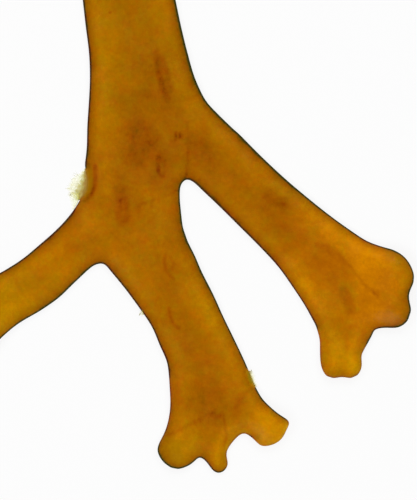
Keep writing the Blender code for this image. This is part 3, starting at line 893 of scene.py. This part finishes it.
def make_blade():
    """The whole blade, from the cut end to the tips, as one closed skin."""
    stretches = [lay(name, *shape) for name, shape in STRETCHES.items()]
    select_only(*stretches)
    bpy.ops.object.join()
    blade = stretches[0]
    blade.name = blade.data.name = "seaweed_blade"
    bpy.ops.object.mode_set(mode="EDIT")
    bpy.ops.mesh.select_all(action="SELECT")
    bpy.ops.mesh.remove_doubles(threshold=SAME_PLACE * MM)
    push_margins_out(bmesh.from_edit_mesh(blade.data))
    bpy.ops.mesh.inset(thickness=1.5 * RIM * MM, use_boundary=True, use_even_offset=True)
    bpy.ops.object.mode_set(mode="OBJECT")
    apply(blade, "SUBSURF", levels=2, render_levels=2, boundary_smooth="ALL")

    places = places_of(blade)
    margin, facing = nearest_margin(blade, places)
    # Olive towards every margin, most of all where it faces right; its very line is maroon where
    #     # it faces left and olive green where it faces right. What turns with the way a margin faces
    #     # is a painted colour fringe of the light at the margin
    olive = (RIM_OLIVE + RIGHT_FRINGE_OLIVE * np.clip(facing, 0, 1)) * smooth_step(1 - margin / RIM_HUE)
    olive += LINE_FRINGE_HUE * facing * smooth_step(1 - margin / RIM_SHADE_LINE)
    marks = painted(places, [mark[:-1] for mark in MARKS])
    paint(blade, "margin", margin)
    paint(blade, "tone", MIDDLE_TONE + painted(places, TONES) + marks)
    # The share of the margin's painted dark line of shade that is kept
    paint(blade, "rim", np.maximum(1 - painted(places, FAINT_RIM_SHADE), 0))
    paint(blade, "warmth", MIDDLE_HUE - olive + painted(places, WARMTHS) + MARK_HUE * marks)
    paint(blade, "bleached", painted(places, BLEACHED))

    # The rim is rounded over its last part, and the blade thickens from there inwards
    round_part = np.clip(1 - margin / RIM, 0, 1)
    half = np.maximum(RIM * np.sqrt(1 - round_part ** 2), RIM_EDGE / 2)
    inner = (THICKNESS - 2 * RIM) * smooth_step((margin - RIM) / THICKENING)
    relief = painted(places, [(*mark[:-2], mark[-1]) for mark in MARKS])
    weigh(blade, "thickness", (RIM + half + inner) / THICKNESS)
    weigh(blade, "roll", (RIM - half) / RIM)
    weigh(blade, "swollen", relief / RELIEF)
    weigh(blade, "sunken", -relief / RELIEF)
    weigh(blade, "skin", smooth_step(margin / SKIN_REACH))
    weigh(blade, "cut", smooth_step(1 - away(places, CUT) / CUT_REACH))
    displace(blade, 2 * CUT_WAVE, "cut", CUT_WAVE_LENGTH, 0.5, "Y")
    displace(blade, WAVE, size=WAVE_LENGTH)
    apply(blade, "SOLIDIFY", thickness=THICKNESS * MM, offset=1.0, vertex_group="thickness")
    # The under skin comes first, and the upper skin has as many vertices
    take_out(blade, range(len(places), 2 * len(places)), "roll")
    take_out(blade, range(len(places)), "swollen", "sunken", "skin")
    for group, height in (("roll", RIM), ("swollen", RELIEF), ("sunken", -RELIEF)):
        displace(blade, height, group)
    displace(blade, DIMPLE, "skin", DIMPLE_LENGTH, 0.5)
    raise_tips(blade)
    blade.data.shade_smooth()
    return blade


def show_cut(piece):
    """Gives the flat face of the cut end its own material, with sharp edges."""
    select_only(piece)
    bpy.ops.object.mode_set(mode="EDIT")
    bpy.ops.mesh.select_all(action="DESELECT")
    shape = bmesh.from_edit_mesh(piece.data)
    centres = np.array([face.calc_center_median() for face in shape.faces]) / MM
    for face, off_cut in zip(shape.faces, away(centres, CUT)):
        if off_cut < CUT_WAVE and abs(face.normal.z) < 0.5 and face.normal.y > 0.5:
            face.select_set(True)
    bmesh.update_edit_mesh(piece.data)
    piece.active_material_index = 1
    bpy.ops.object.material_slot_assign()
    bpy.ops.mesh.faces_shade_flat()
    bpy.ops.object.mode_set(mode="OBJECT")


def finish_small(piece, material):
    """Smooth, in its material, and riding on the blade's body."""
    piece.data.shade_smooth()
    piece.data.materials.clear()
    piece.data.materials.append(material)
    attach(piece, "root")
    return piece


def make_film(name, rows, loose_end, first):
    """A scrap of bleached film: a thin wrinkled sheet that lies on the blade's rim at one end
    of its rows, and frays out, from the first share to 1, towards their loose end."""
    film = lay(name, rows, (FILM_COLUMNS,))
    apply(film, "SUBSURF", levels=2, render_levels=2)
    places = places_of(film)
    held = away(places, [row[-1 - loose_end] for row in rows])
    loose = away(places, [row[loose_end] for row in rows])
    share = held / (held + loose)
    sunken = FILM_DEPTH * (1 - smooth_step(share / FILM_ROOT))
    hanging = FILM_SAG / FILM_ON_BLADE * smooth_step(share / FILM_DOWN)
    paint(film, "fray", first + (1 - first) * share)
    paint(film, "loose", np.clip(share / FILM_PLAIN, 0, 1))
    weigh(film, "ragged", smooth_step((share - FILM_WHOLE) / (1 - FILM_WHOLE)))
    weigh(film, "height", 1 - sunken - hanging)
    displace(film, RAGS * (held + loose).max(), "ragged", RAG_LENGTH, 0.5, "X")
    displace(film, WAVE, size=WAVE_LENGTH)
    displace(film, FILM_ON_BLADE, "height")
    displace(film, WRINKLE, "ragged", WRINKLE_LENGTH, 0.5)
    apply(film, "SOLIDIFY", thickness=FILM_THICKNESS * MM, offset=0.0)
    return finish_small(film, FILM)


def start_piece(name):
    """A piece with an empty mesh, in edit mode, to which primitives are added."""
    select_only()
    bpy.ops.mesh.primitive_circle_add(location=(0, 0, 0))
    piece = bpy.context.object
    piece.name = piece.data.name = name
    bpy.ops.object.mode_set(mode="EDIT")
    bpy.ops.mesh.select_all(action="SELECT")
    bpy.ops.mesh.delete(type="VERT")
    return piece


def make_hairs():
    """Fine hairs that stand out of the film's frayed end: each is a small five-sided face,
    extruded part by part, that turns and narrows on its way."""
    draw = random.Random(HAIR_SEED)
    hairs = start_piece("tuft_hairs")
    for _ in range(HAIR_COUNT):
        row = draw.choice(range(1, len(FRAYED_FILM) - 1))
        start, end = (Vector(FRAYED_FILM[i][0]) for i in (row, row + 1))
        root = start.lerp(end, draw.random()) + Vector((draw.uniform(*HAIR_ROOTS), 0))
        heading = math.radians(draw.gauss(*HAIR_HEADING))
        bend = math.radians(draw.uniform(*HAIR_BENDS))
        length = draw.uniform(*HAIR_LENGTHS)
        tip = root.to_3d() + Vector((0, 0, draw.uniform(*HAIR_HEIGHTS)))
        along = Vector((math.cos(heading), math.sin(heading), draw.uniform(*HAIR_SLOPES)))
        bpy.ops.mesh.primitive_circle_add(
            vertices=5, radius=HAIR_WIDTH / 2 * MM, fill_type="NGON", location=tip * MM,
            rotation=along.to_track_quat("Z", "Y").to_euler(),
        )
        for part in range(HAIR_PARTS):
            bpy.ops.mesh.extrude_region_move(
                TRANSFORM_OT_translate={"value": along * length / HAIR_PARTS * MM}
            )
            tip += along * length / HAIR_PARTS
            bpy.ops.transform.rotate(value=-bend, orient_axis="Z", center_override=tip * MM)
            bpy.ops.transform.resize(value=(HAIR_TAPER,) * 3, center_override=tip * MM)
            along.rotate(Quaternion((0, 0, 1), bend))
    bpy.ops.mesh.select_all(action="SELECT")
    bpy.ops.mesh.normals_make_consistent(inside=False)
    bpy.ops.object.mode_set(mode="OBJECT")
    finish_small(hairs, hair_material())


def make_grains():
    """Grains of silt: balls drawn out, flattened and made uneven."""
    grains = start_piece("silt_grains")
    for (x, y), length, width, turn in GRAINS:
        place = Vector((x, y, GRAIN_HEIGHT)) * MM
        shape = (1, width / length, GRAIN_FLATNESS)
        bpy.ops.mesh.primitive_ico_sphere_add(subdivisions=3, radius=length / 2 * MM, location=place)
        bpy.ops.transform.resize(value=shape, center_override=place)
        bpy.ops.transform.rotate(value=-math.radians(turn), orient_axis="Z", center_override=place)
    bpy.ops.object.mode_set(mode="OBJECT")
    displace(grains, GRAIN_RELIEF, "", GRAIN_RELIEF, 0.5, "NORMAL")
    finish_small(grains, grain_material())


blade = make_blade()
blade.data.materials.clear()
blade.data.materials.append(thallus_material())
blade.data.materials.append(cut_material())
show_cut(blade)
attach(blade, "root")
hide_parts(*STRETCHES)

FILM = film_material()
frayed_film = make_film("frayed_film", FRAYED_FILM, 0, 0.0)
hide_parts("edge_tuft")
make_film("lower_film", LOWER_FILM, 0, 0.6)
make_film("nick_film", NICK_FILM, 1, 0.22)
make_film("scrap_film", SCRAP_FILM, 0, 0.45)
make_hairs()
make_grains()

# The room: a pale table, soft light from all round, and a camera straight above

CENTRE = (3.656 * MM, -3.75 * MM)  # of the view
VIEW_HEIGHT = 31.25 * MM  # that the view takes in
LENS = 200  # mm
SENSOR = 36  # mm
TABLE_SIZE = 4.0  # m
SKY_STRENGTH = 1.6
SOFTBOX_AWAY = 0.3  # m, from the seaweed
SOFTBOX_SIZE = 0.2  # m

select_only()
bpy.ops.mesh.primitive_plane_add(size=TABLE_SIZE, location=(0, 0, 0))
table = bpy.context.object
table.name = "table"
table.data.materials.append(table_material())

world = bpy.context.scene.world or bpy.data.worlds.new("room")
bpy.context.scene.world = world
world.use_nodes = True
tree = world.node_tree
tree.nodes.clear()
direction = add_node(tree, "TexCoord", out="Generated")
height = add_node(tree, "SeparateXYZ", out="Z", Vector=direction)
ceiling = add_node(tree, "ValToRGB", {"stops": (
    (0.08, 0.6), (0.16, 0.08), (0.5, 0.08), (0.57, 1.0), (0.745, 1.0), (0.84, 0.08), (0.9, 0.01),
)}, Fac=height)
background = add_node(tree, "Background", Color=ceiling, Strength=SKY_STRENGTH)
add_node(tree, "OutputWorld", Surface=background)

SOFTBOXES = (  # name, turn round the seaweed in degrees, height angle, watts
    ("key_softbox", 75, 42, 0.3),
    ("fill_softbox", 200, 44, 0.16),
    ("front_softbox", 255, 44, 0.14),
)
for name, turn, rise, watts in SOFTBOXES:
    a, e = math.radians(turn), math.radians(rise)
    away_from = Vector((math.cos(a) * math.cos(e), math.sin(a) * math.cos(e), math.sin(e)))
    bpy.ops.object.light_add(type="AREA", location=away_from * SOFTBOX_AWAY)
    box = bpy.context.object
    box.name = name
    box.data.size, box.data.energy = SOFTBOX_SIZE, watts
    box.rotation_euler = away_from.to_track_quat("Z", "Y").to_euler()

bpy.ops.object.camera_add(location=(*CENTRE, VIEW_HEIGHT * LENS / SENSOR + THICKNESS * MM))
camera = bpy.context.object
camera.name = "camera"
camera.data.lens, camera.data.sensor_width = LENS, SENSOR
camera.data.clip_start, camera.data.clip_end = 0.001, 10
bpy.context.scene.camera = camera
bpy.context.scene.view_settings.view_transform = "Standard"
